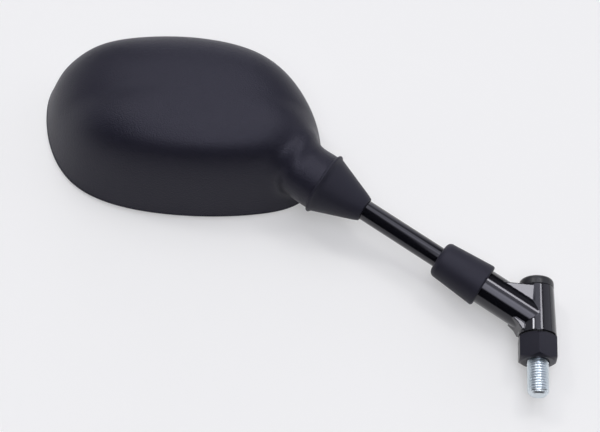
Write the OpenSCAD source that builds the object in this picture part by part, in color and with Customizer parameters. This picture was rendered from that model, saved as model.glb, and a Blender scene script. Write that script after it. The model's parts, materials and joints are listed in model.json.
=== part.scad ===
// A right-hand motorcycle mirror. A moulded housing with a convex glass turns on a
// ball joint at the end of a painted stem, and the stem is locked into a cast
// knuckle that swivels on the stud by which the mirror is mounted.
// The origin is on the stud's axis where the hex nut meets its bracket. +Z runs up
// the stud, the stem leans towards -X, and the glass looks along +Y.

/* [Mounting stud] */
// Outer diameter of the mounting thread
stud_d = 10; // [8:0.5:12]
// Length of the thread below the hex nut
stud_reach = 16; // [12:1:30]
// Chamfer on the tip of the thread
stud_chamfer = 1.4; // [0.6:0.1:2]
// Diameter of the plain shank that the knuckle turns on
shank_d = 8; // [7:0.5:8.5]
// Diameter of the small thread above the shank
top_thread_d = 6; // [5:0.5:6]

/* [Hex nut] */
// Width across the flats
hex_af = 17; // [15:0.5:19]
// Height
hex_h = 12; // [8:0.5:16]
// Diameter that the chamfer leaves on the lower end
hex_nose_d = 15.5; // [14:0.5:16]
// Turn of the flats about the stud
hex_turn = 3.5; // [0:0.5:30]

/* [Swivel] */
// Thickness of the thrust washer under the barrel
thrust_t = 0.7; // [0.5:0.1:1.5]
// Wall of the pivot bush
bush_wall = 1; // [0.8:0.1:1.5]
// Height of the barrel's floor, which holds the bush
bush_floor = 14; // [12:0.5:15]
// Thickness of the flat washer
washer_t = 1; // [0.8:0.1:1.5]
// Thickness of one spring washer's metal
spring_t = 0.5; // [0.4:0.1:0.7]
// Free height of one spring washer
spring_h = 1.2; // [0.9:0.1:1.4]
// Room round the top nut for a box spanner
spanner_room = 1.2; // [1:0.1:1.6]
// Height of the top nut
top_nut_h = 4.6; // [4:0.2:5]

/* [Knuckle] */
// Height of the barrel
barrel_h = 23.6; // [22:0.2:28]
// Diameter of the barrel at its foot
barrel_foot_d = 17.8; // [17.2:0.2:20]
// Diameter of the barrel at its top
barrel_top_d = 16; // [15.8:0.2:18]
// Wall of the barrel at its top, round the nut and washers
barrel_wall = 1.8; // [1.6:0.1:2]
// Diameter of the arm
arm_d = 17; // [15.6:0.2:18]
// Length of the arm from the stud's axis
arm_l = 38; // [36:0.5:40]
// Thickness of the web between the arm and the barrel
web_t = 15; // [10:0.5:15.5]
// How far the web's top lies below the barrel's top
web_drop = 0.9; // [0.5:0.1:3]
// Height of the cap above the barrel
cap_h = 5.4; // [5:0.2:8]
// Rounding of the cap's edge
cap_round = 2.2; // [1:0.2:2.4]
// Crown of the cap's top
cap_crown = 1.8; // [1:0.1:2]
// Wall of the cap
cap_wall = 1; // [0.8:0.1:1.4]

/* [Stem] */
// Rise of the stem above the level
stem_rise = 30.7; // [20:0.5:45]
// Lean of the stem away from the glass
stem_lean = 4.5; // [0:0.5:8]
// How far below the barrel's top the stem's axis crosses the stud's axis
stem_drop = 15.9; // [14.5:0.1:16.5]
// Diameter of the rod
rod_d = 10; // [9:0.5:10.5]
// Depth of the rod's thread in the arm
rod_grip = 24; // [18:1:24]
// Distance from the stud's axis to the ball's centre
ball_at = 138; // [130:1:170]
// Diameter of the ball
ball_d = 14; // [13:0.5:14.5]
// Diameter of the neck between the rod and the ball
ball_neck_d = 7.2; // [6:0.2:7.4]
// Largest angle between the stem and the head, with the pan and the tilt together
swing = 17; // [12:0.5:18]
// Width across the flats of the lock nut
lock_af = 14; // [13:0.5:14]
// Thickness of the lock nut
lock_h = 6.5; // [5:0.5:7]
// Thickness of the washer under the lock nut
lock_washer_t = 1.2; // [1:0.1:1.6]

/* [Rubber sleeve] */
// How far the sleeve reaches down over the arm
sleeve_over = 8.6; // [7:0.2:12]
// Length of the sleeve
sleeve_l = 24.6; // [22:0.2:30]
// Diameter at the lower end
sleeve_low_d = 21.2; // [20.6:0.2:24]
// Diameter at the upper end
sleeve_high_d = 17.4; // [17:0.2:22]
// Rounding of both ends
sleeve_round = 2.8; // [1:0.2:3]
// Length of the lip that grips the rod
sleeve_lip = 6; // [3:0.5:6]

/* [Rubber boot] */
// Distance from the boot's wide end to the ball's centre
boot_before = 18.7; // [18:0.1:20]
// Length of the boot
boot_l = 23.8; // [20:0.2:26]
// Diameter of the narrow end
boot_thin_d = 12.2; // [12:0.2:14]
// Diameter of the wide end, before its bead
boot_wide_d = 29.2; // [28.4:0.2:30]
// Width of the bead round the wide end
boot_bead_w = 1.6; // [1:0.2:3]
// Height of the bead
boot_bead = 0.6; // [0.4:0.1:1]
// Wall of the boot
boot_wall = 1.6; // [1.2:0.1:2]

/* [Housing] */
// Height of the rim's plane along Y
rim_y = 11; // [8:0.5:12]
// Depth of the housing behind its rim
depth = 43.3; // [40:0.5:50]
// How full the side walls are, from a plain dome at 2
fullness = 3.1; // [2.6:0.1:4]
// How full the lower wall is, under the bend along the back
fullness_low = 6; // [4:0.5:8]
// Share by which the walls draw in towards the back
draft = 0.14; // [0.1:0.01:0.18]
// Sideways shift of the back's highest point
back_shift_x = 5.4; // [0:0.2:8]
// Upward shift of the back's highest point
back_shift_z = 8.1; // [4:0.1:10]
// Thickness of the moulded wall
wall = 2.5; // [2:0.1:3]
// Width of the rim round the glass pocket
rim_w = 4; // [3.6:0.1:5]
// Outer diameter of the neck
neck_d = 28.2; // [27.6:0.1:29.4]
// Bore of the neck round the ball socket
neck_bore_d = 22.8; // [22:0.1:23.4]
// Length of the neck's tube past the ball's centre
neck_past = 15.2; // [15:0.2:18]
// Distance from the shoulder in the neck's bore to the ball's centre
socket_deep = 12; // [11:0.2:13]
// Length of the spigot inside the boot
spigot_l = 3; // [2:0.5:4]
// Radius of the blend over the top of the neck
neck_blend = 6; // [4:0.5:9]

/* [Ball socket] */
// Wall of the two nylon seats
seat_wall = 1.4; // [1.2:0.1:1.6]
// Distance from the ball's centre to the coned springs
springs_off = 9.4; // [9.2:0.1:10.5]
// Thickness of one coned spring's metal
tension_t = 0.6; // [0.4:0.1:0.8]
// Free height of one coned spring
tension_h = 1.2; // [1:0.1:1.4]
// Thickness of the threaded retainer ring
retainer_t = 3; // [2:0.2:3.4]

/* [Glass] */
// Radius of the convex glass
glass_radius = 1200; // [900:50:1400]
// Thickness of the glass
glass_t = 2; // [1.6:0.1:2.2]
// How far the glass lies below the rim at its centre
glass_drop = 0.6; // [0.4:0.1:1]
// Width of the rubber seal round the glass
seal_w = 1.3; // [1:0.1:2]
// Thickness of the foam pad behind the glass
foam_t = 1; // [0.6:0.1:1.4]
// Thickness of the backing plate
plate_t = 1.5; // [1.2:0.1:1.8]
// Diameter of the backing plate's screws
plate_screw_d = 2.5; // [2:0.1:3]
// Length of those screws
plate_screw_l = 12.4; // [9:0.2:14]
// Thickness of their flat heads
plate_head_t = 0.8; // [0.6:0.1:1]
// Diameter of the screw posts inside the housing
post_d = 7; // [6:0.5:8]

/* [Fits] */
// Radial clearance of a running fit or a thread
fit = 0.05; // [0.03:0.01:0.08]
// Clearance between pieces that don't touch
gap = 0.3; // [0.2:0.05:0.4]

/* [Hidden] */
$fn = 64;

// Levels up the stud
barrel_z = hex_h + thrust_t;
barrel_top_z = barrel_z + barrel_h;
chamber_d = barrel_top_d - 2 * barrel_wall;
top_nut_af = chamber_d - 2 * spanner_room;
floor_z = barrel_z + bush_floor;
washer_top_z = floor_z + washer_t;
spring_top_z = washer_top_z + 2 * spring_h;
top_nut_top_z = spring_top_z + top_nut_h;
bush_d = shank_d + 2 * bush_wall;

// The cap's plug sits in a shallow recess at the top of the barrel
plug_d = barrel_top_d - 2;
plug_l = 2.6;
crown_r = (pow(barrel_top_d / 2, 2) + cap_crown * cap_crown) / (2 * cap_crown);

// Direction of the stem, and the turns that carry +Z onto it
stem_z = barrel_top_z - stem_drop;
stem_dir = [-cos(stem_rise) * cos(stem_lean), -sin(stem_lean), sin(stem_rise) * cos(stem_lean)];
stem_polar = acos(stem_dir[2]);
stem_azimuth = atan2(stem_dir[1], stem_dir[0]);
web_turn = stem_azimuth + 180;

// Places along the stem
lock_at = arm_l + lock_washer_t;
sleeve_at = arm_l - sleeve_over;
boot_end = ball_at - boot_before;
boot_at = boot_end - boot_l;
spigot_at = boot_end - spigot_l;
shoulder_at = ball_at - socket_deep;
neck_inner_at = ball_at + neck_past;
springs_at = ball_at + springs_off;
retainer_at = springs_at + 2 * tension_h;
spigot_d = boot_wide_d - 2 * boot_wall - 0.8;

// Ball joint: seats run on the ball, and the socket runs on the seats
ball_r = ball_d / 2;
seat_in = ball_r + fit;
seat_out = seat_in + seat_wall;
socket_r = seat_out + fit;

// Radius that the swinging ball's neck needs at a distance before the ball's centre
function swing_r(before) = before * tan(swing) + ball_neck_d / 2 / cos(swing) + gap;

// Distance from the ball's centre to the rod's full diameter: the rod tapers to its neck
// before the swung neck reaches into the spigot
ball_taper_l = 3;
ball_neck_l = (ball_at - spigot_at + gap + ball_neck_d / 2 * sin(swing)) / cos(swing) + ball_taper_l;

// Outline of the rim in X and Z, as control points of a closed cubic spline
rim_control = [
    [-100, 100.5], [-108.5, 125], [-131, 151], [-184.5, 158], [-237, 150],
    [-244, 121], [-228.5, 76.5], [-175, 67.5], [-130, 71.5], [-108.5, 79]
];
spans = len(rim_control);
span_steps = 6;
rim_steps = spans * span_steps;
back_steps = 14;

function spline(a, b, c, d, t) =
    (pow(1 - t, 3) * a + (3 * pow(t, 3) - 6 * t * t + 4) * b
     + (-3 * pow(t, 3) + 3 * t * t + 3 * t + 1) * c + pow(t, 3) * d) / 6;
function control(i) = rim_control[(i + spans) % spans];
rim = [for (i = [0:spans - 1]) for (j = [0:span_steps - 1])
    spline(control(i - 1), control(i), control(i + 1), control(i + 2), j / span_steps)];
function mean(points) = [for (k = [0, 1]) let (v = [for (p = points) p[k]]) v * [for (p = v) 1] / len(v)];
rim_centre = mean(rim);
rim_half = [for (k = [0, 1]) let (v = [for (p = rim) p[k]]) (max(v) - min(v)) / 2];

// The rim's outline moved inwards by d
function along(i) = rim[(i + 1) % rim_steps] - rim[(i - 1 + rim_steps) % rim_steps];
function inset(d) = [for (i = [0:rim_steps - 1])
    rim[i] + d * [-along(i)[1], along(i)[0]] / norm(along(i))];

// Share of the lower wall's fullness at a point of the outline, fading out at half height
function lowness(p) = let (t = min(max((rim_centre[1] - p[1]) / rim_half[1], 0), 1)) t * t * (3 - 2 * t);

// One cross-section of the housing at a share of its depth, from 0 at the rim to 90 at the back
function section(outline, deep, angle) =
    let (share = pow(sin(angle), 2 / fullness),
         middle = rim_centre + share * [back_shift_x, back_shift_z])
    [for (p = outline)
        let (full = fullness + (fullness_low - fullness) * lowness(p),
             size = (1 - draft * share) * pow(max(1 - pow(share, full), 0), 1 / full),
             q = middle + size * (p - rim_centre))
        [q[0], rim_y - deep * share, q[1]]];

// A closed dome over an outline: rings from the rim to the back's highest point
module dome(outline, deep) {
    rings = [for (i = [0:back_steps - 1]) each section(outline, deep, 90 * i / back_steps)];
    top = section(outline, deep, 90)[0];
    last = (back_steps - 1) * rim_steps;
    sides = [for (i = [0:back_steps - 2]) for (j = [0:rim_steps - 1])
        let (a = i * rim_steps, b = a + rim_steps, k = (j + 1) % rim_steps)
        each [[a + j, b + j, b + k], [a + j, b + k, a + k]]];
    cap = [for (j = [0:rim_steps - 1]) [last + j, len(rings), last + (j + 1) % rim_steps]];
    polyhedron(concat(rings, [top]), concat([[for (j = [0:rim_steps - 1]) j]], sides, cap));
}

// A slab parallel to the rim, from its lower level up to its upper level along Y
module slab(outline, low, high) {
    translate([0, high, 0]) rotate([90, 0, 0]) linear_extrude(high - low) polygon(outline);
}

module on_stem(distance) {
    translate([0, 0, stem_z] + distance * stem_dir)
        rotate([0, stem_polar, stem_azimuth]) children();
}

// A ring or disc about Z
module ring(outer_d, inner_d, height) {
    difference() {
        cylinder(d = outer_d, h = height);
        translate([0, 0, -1]) cylinder(d = inner_d, h = height + 2);
    }
}

// A hexagon prism whose ends are chamfered down to the given diameters
module hexagon(af, height, low_d, high_d) {
    corner = af / cos(30) / 2;
    low_rise = (corner - low_d / 2) * tan(36);
    high_rise = (corner - high_d / 2) * tan(36);
    intersection() {
        cylinder(r = corner, h = height, $fn = 6);
        rotate_extrude() polygon([[0, 0], [low_d / 2, 0], [corner, low_rise],
            [corner, height - high_rise], [high_d / 2, height], [0, height]]);
    }
}

// Thread, relief groove, thread in the nut, plain shank and small upper thread
module mount_stud() {
    r = stud_d / 2;
    relief = 1.2;
    color("lightsteelblue") rotate_extrude() polygon([
        [0, -stud_reach], [r - stud_chamfer, -stud_reach], [r, -stud_reach + stud_chamfer],
        [r, 0], [r - 0.3, 0], [r - 0.3, relief], [r, relief + 0.3], [r, hex_h], [shank_d / 2, hex_h],
        [shank_d / 2, floor_z - gap], [top_thread_d / 2, floor_z - gap],
        [top_thread_d / 2, top_nut_top_z + 0.2], [top_thread_d / 2 - 0.7, top_nut_top_z + 0.9],
        [0, top_nut_top_z + 0.9]]);
}

module hex_nut() {
    color("dimgray") difference() {
        rotate(-90 - hex_turn) hexagon(hex_af, hex_h, hex_nose_d, hex_af);
        translate([0, 0, -1]) cylinder(d = stud_d + 2 * fit, h = hex_h + 2);
    }
}

module thrust_washer() {
    color("black") translate([0, 0, hex_h]) ring(hex_af - 1, shank_d + 4 * fit, thrust_t);
}

module flat_washer() {
    color("silver") translate([0, 0, floor_z]) ring(chamber_d - 2 * gap, top_thread_d + gap, washer_t);
}

// Two coned washers, face to face at their rims
module spring_washers() {
    outer = chamber_d / 2 - gap;
    inner = top_thread_d / 2 + gap;
    rise = spring_h - spring_t;
    color("gray") {
        translate([0, 0, washer_top_z]) rotate_extrude() polygon([
            [inner, 0], [outer, rise], [outer, rise + spring_t - fit], [inner, spring_t]]);
        translate([0, 0, washer_top_z + spring_h]) rotate_extrude() polygon([
            [inner, rise], [outer, 0], [outer, spring_t], [inner, rise + spring_t]]);
    }
}

module top_nut() {
    color("silver") translate([0, 0, spring_top_z]) difference() {
        hexagon(top_nut_af, top_nut_h, top_nut_af, top_nut_af - 1.5);
        translate([0, 0, -1]) cylinder(d = top_thread_d + 2 * fit, h = top_nut_h + 2);
    }
}

// Solid form of the knuckle, before its bores
module knuckle_blank() {
    arm_under = stem_z - arm_d / 2 / cos(stem_rise);
    foot_r = barrel_foot_d / 2;
    web_top = barrel_top_z - web_drop;
    web_reach = (web_top - stem_z - 3.2) / tan(stem_rise);
    translate([0, 0, barrel_z]) cylinder(d1 = barrel_foot_d, d2 = barrel_top_d, h = barrel_h);
    on_stem(0) cylinder(d = arm_d, h = arm_l);
    rotate(web_turn) {
        translate([0, web_t / 2, 0]) rotate([90, 0, 0]) linear_extrude(web_t)
            polygon([[0, stem_z], [0, web_top], [-web_reach, web_top]]);
        translate([0, foot_r * 0.6, 0]) rotate([90, 0, 0]) linear_extrude(foot_r * 1.2)
            polygon([[0, barrel_z + 1], [-foot_r + 0.3, barrel_z + 1],
                [-foot_r - 1.2, arm_under + (foot_r + 1.2) * tan(stem_rise)],
                [-foot_r - 4, arm_under + (foot_r + 4) * tan(stem_rise) + 1], [0, stem_z]]);
    }
}

module knuckle() {
    color("black") difference() {
        knuckle_blank();
        translate([0, 0, barrel_z - 1]) cylinder(d = bush_d + 2 * fit, h = bush_floor + 2);
        translate([0, 0, floor_z]) cylinder(d = chamber_d, h = barrel_h);
        translate([0, 0, barrel_top_z - plug_l - gap]) cylinder(d = plug_d, h = barrel_h);
        on_stem(arm_l - rod_grip) cylinder(d = rod_d + 2 * fit, h = rod_grip + 1);
    }
}

module pivot_bush() {
    color("goldenrod") translate([0, 0, barrel_z]) ring(bush_d, shank_d + 2 * fit, bush_floor - gap);
}

// Domed cap with a hollow plug that presses into the barrel's recess
module pivot_cap() {
    r = barrel_top_d / 2;
    plug_r = plug_d / 2 - fit;
    side_h = cap_h - cap_crown * 0.45;
    color("black") translate([0, 0, barrel_top_z]) rotate_extrude() difference() {
        union() {
            intersection() {
                union() {
                    square([r, side_h - cap_round]);
                    square([r - cap_round, cap_h + 1]);
                    translate([r - cap_round, side_h - cap_round]) circle(cap_round, $fn = 64);
                }
                translate([0, cap_h - crown_r]) circle(crown_r, $fn = 360);
                square([r, cap_h + 1]);
            }
            translate([0, -plug_l]) square([plug_r, plug_l + 0.1]);
        }
        translate([0, -plug_l - 1]) square([plug_r - cap_wall, plug_l + cap_h - 1.4]);
        translate([-20, -20]) square([20, 60]);
    }
}

module stem_rod() {
    r = rod_d / 2;
    neck_r = ball_neck_d / 2;
    start = arm_l - rod_grip + gap;
    taper_at = ball_at - ball_neck_l;
    color("black") on_stem(start) rotate_extrude() difference() {
        union() {
            polygon([[0, 0], [r - 1, 0], [r, 1], [r, taper_at - start],
                [neck_r, taper_at + ball_taper_l - start], [neck_r, ball_at - start], [0, ball_at - start]]);
            translate([0, ball_at - start]) circle(d = ball_d, $fn = 96);
        }
        translate([-20, -1]) square([20, ball_at]);
    }
}

module lock_washer() {
    color("silver") on_stem(arm_l) ring(lock_af, rod_d + 2 * fit, lock_washer_t);
}

module lock_nut() {
    color("silver") on_stem(lock_at) difference() {
        hexagon(lock_af, lock_h, lock_af, lock_af);
        translate([0, 0, -1]) cylinder(d = rod_d + 2 * fit, h = lock_h + 2);
    }
}

// Rubber sleeve over the lock nut: a tapered tube with rounded ends and a lip on the rod
module nut_sleeve() {
    low_r = sleeve_low_d / 2;
    high_r = sleeve_high_d / 2;
    e = sleeve_round;
    slope = (low_r - high_r) / sleeve_l;
    cavity_l = sleeve_l - sleeve_lip;
    color("black") on_stem(sleeve_at) rotate_extrude() difference() {
        union() {
            polygon([[0, 0], [low_r - e, 0], [low_r - e * slope, e],
                [high_r + e * slope, sleeve_l - e], [high_r - e, sleeve_l], [0, sleeve_l]]);
            translate([low_r - e - e * slope, e]) circle(e);
            translate([high_r - e + e * slope, sleeve_l - e]) circle(e);
        }
        translate([-1, -1]) square([arm_d / 2 + fit + 1, cavity_l + 1]);
        translate([-1, -1]) square([rod_d / 2 + fit + 1, sleeve_l + 2]);
        translate([-40, -1]) square([40, sleeve_l + 2]);
    }
}

// A ring cut from a spherical shell about the ball, between two angles from the stem side
module ball_seat(from, to) {
    reach = 3 * seat_out;
    on_stem(ball_at) rotate_extrude() intersection() {
        difference() {
            circle(seat_out, $fn = 96);
            circle(seat_in, $fn = 96);
        }
        polygon([[0, 0], reach * [sin(from), -cos(from)], reach * [sin((from + to) / 2), -cos((from + to) / 2)],
            reach * [sin(to), -cos(to)]]);
    }
}

module ball_cup() {
    color("white") ball_seat(98, 165);
}

module ball_ring() {
    color("white") ball_seat(42, 80);
}

// Seat for the front half of the ball, pushed into the neck from inside
module socket_base() {
    base_r = neck_bore_d / 2 - 2 * fit;
    mouth_r = swing_r(socket_deep);
    mouth = 48;
    color("silver") on_stem(shoulder_at) rotate_extrude() difference() {
        square([base_r, socket_deep]);
        translate([0, socket_deep]) circle(socket_r, $fn = 96);
        polygon([[0, -1], [mouth_r, -1], [mouth_r, 0],
            [socket_r * sin(mouth), socket_deep - socket_r * cos(mouth)], [0, socket_deep]]);
        translate([-20, -1]) square([20, 60]);
    }
}

// Dished plate that the coned springs press against the back of the ball's seats
module pressure_plate() {
    plate_r = neck_bore_d / 2 - 2 * fit;
    start = ball_at + 3;
    color("silver") on_stem(start) rotate_extrude() difference() {
        square([plate_r, springs_at - start]);
        translate([0, ball_at - start]) circle(socket_r, $fn = 96);
        translate([-20, -1]) square([20, 60]);
    }
}

// Two coned springs, rim to rim
module tension_springs() {
    outer = neck_bore_d / 2 - gap;
    inner = 5.5;
    rise = tension_h - tension_t;
    color("gray") on_stem(springs_at) {
        rotate_extrude() polygon([[inner, 0], [outer, rise], [outer, tension_h - fit], [inner, tension_t]]);
        translate([0, 0, tension_h]) rotate_extrude() polygon([
            [inner, rise], [outer, 0], [outer, tension_t], [inner, tension_h]]);
    }
}

// Threaded ring that closes the neck's bore, with two holes for a pin spanner
module retainer_ring() {
    color("silver") on_stem(retainer_at) difference() {
        ring(neck_bore_d - 4 * fit, 12, retainer_t);
        for (side = [-1, 1]) translate([8.6 * side, 0, -1]) cylinder(d = 2.4, h = retainer_t + 2);
    }
}

// Screw posts of the backing plate, as shares of half the glass pocket's width and height
post_places = [for (q = [[0.615, 0.505], [-0.7, 0.57], [-0.66, -0.605], [0.235, -0.68]])
    rim_centre + [q[0] * (rim_half[0] - rim_w), q[1] * (rim_half[1] - rim_w)]];

module at_posts(y) {
    for (p = post_places) translate([p[0], y, p[1]]) rotate([90, 0, 0]) children();
}

// Outer form of the neck: a tube that blends into the housing over its top
module neck_form() {
    r = neck_d / 2;
    steps = 8;
    blend_at = boot_end + 9;
    tube_end = neck_inner_at - 4;
    on_stem(spigot_at) cylinder(d = spigot_d, h = spigot_l + 1);
    on_stem(boot_end) cylinder(r = r, h = tube_end - boot_end);
    hull() {
        on_stem(tube_end - 0.1) cylinder(r = r, h = 0.1);
        on_stem(tube_end + 16) translate([-9, 0, 0]) sphere(6, $fn = 24);
    }
    for (i = [0:steps - 1]) hull() for (k = [i, i + 1]) {
        angle = 80 * k / steps;
        grow = neck_blend * (1 - cos(angle));
        on_stem(blend_at + neck_blend * sin(angle)) translate([-grow, 0, 0]) {
            cylinder(r = r, h = 0.1, $fn = 32);
            translate([grow / 2, 0, 0]) cylinder(r = r + 0.4 * grow, h = 0.1, $fn = 32);
        }
    }
}

// Solid inside the housing: the neck's inner tube and the backing plate's posts
module inner_solids() {
    on_stem(boot_end) cylinder(d = neck_d, h = neck_inner_at - boot_end);
    at_posts(post_y) cylinder(d = post_d, h = depth, $fn = 32);
}

// Bore of the neck: a mouth for the swinging rod, a shoulder, and the socket's seat
module neck_bore() {
    mouth_l = shoulder_at - spigot_at;
    end = neck_inner_at + 20 - spigot_at;
    on_stem(spigot_at) rotate_extrude() polygon([
        [0, -1], [swing_r(ball_at - spigot_at), -1], [swing_r(ball_at - spigot_at), 0],
        [swing_r(socket_deep), mouth_l], [neck_bore_d / 2, mouth_l], [neck_bore_d / 2, end], [0, end]]);
}

module housing() {
    color("#26252b") difference() {
        union() {
            dome(rim, depth);
            neck_form();
        }
        difference() {
            dome(inset(wall + 0.5), depth - wall);
            inner_solids();
            slab(inset(-1), pocket_y + 0.5, rim_y + 1);
        }
        difference() {
            slab(inset(rim_w), pocket_y, rim_y + 1);
            at_posts(post_y) cylinder(d = post_d - 1, h = depth, $fn = 32);
        }
        neck_bore();
        at_posts(screw_y) cylinder(d = plate_screw_d + 2 * fit + 0.1, h = plate_screw_l + 2, $fn = 24);
    }
}

// Levels in the glass pocket along Y, at the glass's centre and out at its screws and rim
glass_y = rim_y - glass_drop;
foam_y = glass_y - glass_t - fit;
plate_y = foam_y - foam_t - fit;
function sag(r) = r * r / glass_radius / 2;
screw_r = max([for (p = post_places) norm(p - rim_centre)]);
screw_y = plate_y - sag(screw_r + 2.5);
post_y = screw_y - plate_t - 0.1;
pocket_y = plate_y - plate_t - sag(max([for (p = rim) norm(p - rim_centre)]));
glass_inset = rim_w + seal_w + 2 * fit;
plate_head_r = plate_screw_d * 0.96;

// A slice of a big ball whose top touches the given level along Y
module lens(level, big_r, thick) {
    translate([rim_centre[0], level - big_r, rim_centre[1]]) rotate([-90, 0, 0])
        rotate_extrude($fn = 120) intersection() {
            difference() {
                circle(big_r, $fn = 2160);
                circle(big_r - thick, $fn = 2160);
            }
            translate([0, big_r - 14]) square([90, 20]);
        }
}

// Curved plate that carries the glass, with counterbores for its screws' flat heads
module backing_plate() {
    color("#202020") difference() {
        intersection() {
            slab(inset(rim_w + gap), pocket_y - 1, rim_y);
            lens(plate_y, glass_radius - (glass_y - plate_y), plate_t);
        }
        at_posts(plate_y + 1) cylinder(r = plate_screw_d / 2 + gap, h = plate_t + 6);
        at_posts(screw_y + 2) cylinder(r = plate_head_r + gap, h = 2 + plate_head_t);
    }
}

module plate_screws() {
    r = plate_screw_d / 2;
    color("silver") at_posts(screw_y) rotate_extrude() polygon([[0, 0], [plate_head_r, 0],
        [plate_head_r, plate_head_t], [r, plate_head_t], [r, plate_screw_l - 1.2],
        [r - 0.8, plate_screw_l], [0, plate_screw_l]]);
}

module foam_pad() {
    color("#303030") intersection() {
        slab(inset(glass_inset + 3), pocket_y - 1, rim_y);
        lens(foam_y, glass_radius - (glass_y - foam_y), foam_t);
    }
}

module glass_seal() {
    color("black") difference() {
        slab(inset(rim_w + fit), plate_y + fit, glass_y - 0.2);
        slab(inset(rim_w + seal_w), plate_y - 1, rim_y);
    }
}

module mirror_glass() {
    color("lightblue") intersection() {
        slab(inset(glass_inset), pocket_y - 1, rim_y);
        lens(glass_y, glass_radius, glass_t);
    }
}

// Rubber boot: a thin cone from the rod to the neck, with a bead at its wide end
module boot() {
    thin_r = boot_thin_d / 2;
    wide_r = boot_wide_d / 2;
    grip_r = spigot_d / 2 + fit;
    hold = rod_d / 2 + fit;
    color("#1c1c1e") on_stem(boot_at) rotate_extrude() polygon([
        [hold, 0], [thin_r - 0.4, 0], [thin_r, 0.4],
        [wide_r - 0.5, boot_l - boot_bead_w - 1.2], [wide_r, boot_l - boot_bead_w],
        [wide_r + boot_bead - 0.1, boot_l - boot_bead_w + 0.1], [wide_r + boot_bead, boot_l - boot_bead_w / 2],
        [wide_r + boot_bead - 0.1, boot_l], [grip_r, boot_l], [grip_r, boot_l - spigot_l - gap],
        [grip_r - 0.8, boot_l - spigot_l - 1], [hold + 0.6, 3.6], [hold, 3]]);
}

mount_stud();
hex_nut();
thrust_washer();
flat_washer();
spring_washers();
top_nut();
knuckle();
pivot_bush();
pivot_cap();
stem_rod();
lock_washer();
lock_nut();
nut_sleeve();
ball_cup();
ball_ring();
socket_base();
pressure_plate();
tension_springs();
retainer_ring();
housing();
backing_plate();
plate_screws();
foam_pad();
glass_seal();
mirror_glass();
boot();
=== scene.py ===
"""Looks of a motorcycle mirror: moulded housing, convex glass, rubber boot, painted stem and
knuckle, and a zinc-plated mounting stud, modelled round the packed construction."""

import json
import math

import bmesh
import bpy
from bpy.props import FloatProperty, FloatVectorProperty, IntProperty, PointerProperty
from mathutils import Matrix, Vector, kdtree


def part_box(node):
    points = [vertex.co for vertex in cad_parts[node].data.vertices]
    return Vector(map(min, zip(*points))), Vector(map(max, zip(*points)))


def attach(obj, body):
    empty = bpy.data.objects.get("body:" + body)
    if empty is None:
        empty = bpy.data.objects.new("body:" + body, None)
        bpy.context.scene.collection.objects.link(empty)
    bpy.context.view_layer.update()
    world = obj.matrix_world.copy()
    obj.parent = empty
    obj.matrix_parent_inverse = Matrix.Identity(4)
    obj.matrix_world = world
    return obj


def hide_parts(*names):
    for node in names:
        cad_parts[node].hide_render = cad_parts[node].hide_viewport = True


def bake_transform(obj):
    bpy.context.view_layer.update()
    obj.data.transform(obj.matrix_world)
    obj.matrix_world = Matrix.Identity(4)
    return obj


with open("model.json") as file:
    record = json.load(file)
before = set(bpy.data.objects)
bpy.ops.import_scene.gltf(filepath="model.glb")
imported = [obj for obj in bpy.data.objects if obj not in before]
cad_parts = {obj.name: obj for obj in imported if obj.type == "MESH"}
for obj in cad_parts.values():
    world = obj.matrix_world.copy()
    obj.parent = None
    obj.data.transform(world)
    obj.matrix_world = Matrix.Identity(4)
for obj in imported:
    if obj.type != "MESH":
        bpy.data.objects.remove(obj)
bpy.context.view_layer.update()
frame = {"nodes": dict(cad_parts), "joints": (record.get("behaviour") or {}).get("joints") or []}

bl_info = {
    "name": "Motorcycle mirror",
    "version": (1, 0, 0),
    "blender": (4, 5, 0),
    "location": "3D View > Sidebar > Mirror",
    "description": "Models the visible pieces and finishes of a motorcycle mirror, and its studio",
    "category": "Add Mesh",
}

MM = 0.001
# Segments round turned pieces: for cuts and hidden faces, for faces that show, and for what is
# fused or meets the hexagon
COARSE, ROUND, FINE = 96, 128, 192

# The stem's line, from the joints of the frame
JOINTS = {joint["name"]: joint for joint in frame["joints"]}
STEM_DIR = Vector(JOINTS["sleeve_slide"]["axis"]).normalized()
BALL = Vector(JOINTS["head_tilt"]["pos_m"])
BALL_AT = BALL.x / STEM_DIR.x
STEM_FOOT = BALL - BALL_AT * STEM_DIR

# Control points of the rim's closed spline, X and Z in millimetres
RIM_CONTROL = [
    (-100, 100.5), (-108.5, 125), (-131, 151), (-184.5, 158), (-237, 150),
    (-244, 121), (-228.5, 76.5), (-175, 67.5), (-130, 71.5), (-108.5, 79),
]
# Places of the backing plate's screws, X and Z in millimetres
POSTS = [(-124.788, 129.714), (-210.128, 132.252), (-207.532, 86.382), (-149.449, 83.454)]

# The room's soft light: azimuth from the front towards +X, elevation, the angles from its
# middle at which it starts and ends to fade, all in degrees, and its strength
ROOM = [
    (0, 80, 8, 28, 1.3), (0, 30, 10, 25, 1.6), (0, 6, 5, 22, 1.0), (0, -20, 10, 25, 3.0),
    (-60, 20, 15, 35, 0.51), (60, 20, 15, 35, 0.79), (180, 0, 85, 91, 0.85),
]
# Lamps: name, azimuth, elevation, width in degrees, strength, and whether it shows in gloss
LAMPS = [
    ("key", 0, 34, 60, 0.25, False), ("web_lamp", 19, 23.3, 12, 0.28, True),
    ("side_lamp", -31, 26, 8, 0.28, True),
]

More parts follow.
